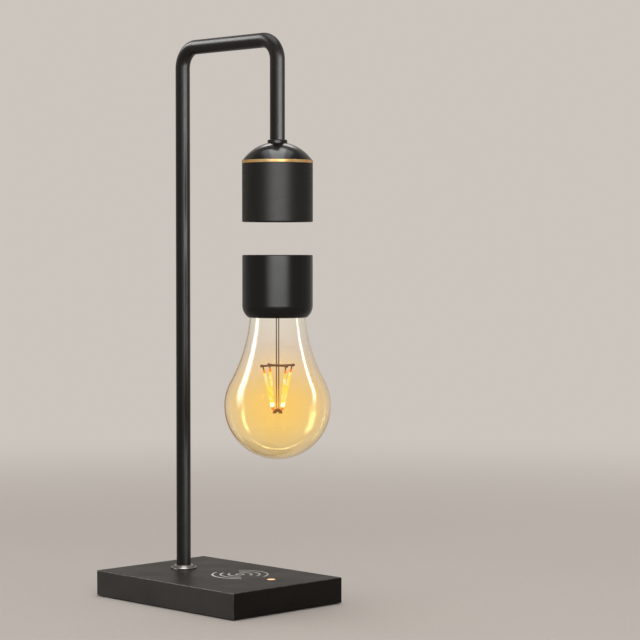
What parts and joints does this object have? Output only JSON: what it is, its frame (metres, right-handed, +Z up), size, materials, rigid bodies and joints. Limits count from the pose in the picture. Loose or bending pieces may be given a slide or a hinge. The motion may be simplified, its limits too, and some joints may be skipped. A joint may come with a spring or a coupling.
{
  "type": "levitating lamp",
  "caption": "Table lamp whose bulb floats below an electromagnet on a bent tube arm, over a flat base with a wireless phone charger and a touch spot.",
  "frame": {"origin": "on the surface that the lamp stands on, under the middle of its base: the middle of the pad's underside", "axes": "+X from the post towards the bulb along the base's long side, +Y across the base, +Z up"},
  "size_m": [0.1666, 0.099, 0.385],
  "materials": {
    "base_black": "satin black moulding",
    "head_black": "satin black moulding",
    "lid_black": "matt black moulding",
    "dome_black": "polished black",
    "tube_black": "satin black powder coat",
    "gilt_brass": "polished",
    "pad_rubber": "fine matt texture",
    "steel": "plain",
    "zinc": "zinc plated",
    "nickel": "nickel plated",
    "circuit_board": "green lacquer",
    "component_black": "moulded",
    "copper": "enamelled copper",
    "ferrite": "sintered, matt",
    "mark_ink": "pad-printed light grey ink",
    "warm_lens": "translucent, lit warm orange",
    "led_body": "white body with a yellow window",
    "cable_jacket": "black jacket",
    "plug_white": "natural nylon",
    "bobbin_white": "natural nylon",
    "clear_glass": "clear at the neck, warm amber in the belly",
    "lead_wire": "dark wire",
    "support_brown": "dark brown, heat stained",
    "glow_yellow": "glowing yellow coating",
    "glow_orange": "glowing orange ends"
  },
  "bodies": {
    "root": {"base_shell": "base_black", "bottom_plate": "base_black", "head_shell": "head_black", "head_dome": "dome_black", "head_collar": "tube_black", "head_face": "head_black", "foot_flange": "tube_black", "arm_tube": "tube_black", "trim_ring": "gilt_brass", "non_slip_pad": "pad_rubber", "ballast_plate": "steel", "bottom_screws": "steel", "ballast_screws": "steel", "main_board": "circuit_board", "board_components": "component_black", "board_screws": "steel", "charging_coil": "copper", "charging_ferrite": "ferrite", "charging_mark": "mark_ink", "touch_lens": "warm_lens", "touch_electrode": "copper", "indicator_led": "led_body", "dc_inlet": "component_black", "inlet_pin": "gilt_brass", "inlet_wires": "cable_jacket", "cable_plug_base": "plug_white", "power_cable": "cable_jacket", "tube_nipples": "zinc", "tube_washers": "zinc", "tube_nuts": "zinc", "hall_sensor": "component_black", "transmitter_coil": "copper", "iron_core": "steel", "coil_bobbin": "bobbin_white", "magnet_winding": "copper", "yoke_plate": "steel", "board_spacers": "zinc", "control_board": "circuit_board", "control_board_screws": "zinc", "cable_plug_head": "plug_white", "coil_leads": "copper"},
    "floating_magnet": {"levitation_magnet": "nickel"},
    "bulb": {"cap_shell": "head_black", "cap_lid": "lid_black", "receiver_coil": "copper", "receiver_leads": "copper", "magnet_carrier": "bobbin_white", "driver_board": "circuit_board", "driver_components": "component_black", "driver_screws": "zinc", "neck_ring": "bobbin_white", "glass_envelope": "clear_glass", "glass_stem": "clear_glass", "lead_wires": "lead_wire", "filament_support": "support_brown", "filament_sticks": "glow_yellow", "filament_tips": "glow_orange", "lower_bridge": "support_brown"}
  },
  "joints": [
    {"name": "bulb_float", "type": "slide", "parent": "root", "child": "floating_magnet", "axis": [0, 0, 1], "range_m": [-0.08, 0.0205], "stiffness_N_per_m": 120, "springref_m": 0.01055},
    {"name": "bulb_spin", "type": "hinge", "parent": "floating_magnet", "child": "bulb", "pos_m": [0.06, 0, 0.2298], "axis": [0, 0, 1], "continuous": true}
  ]
}
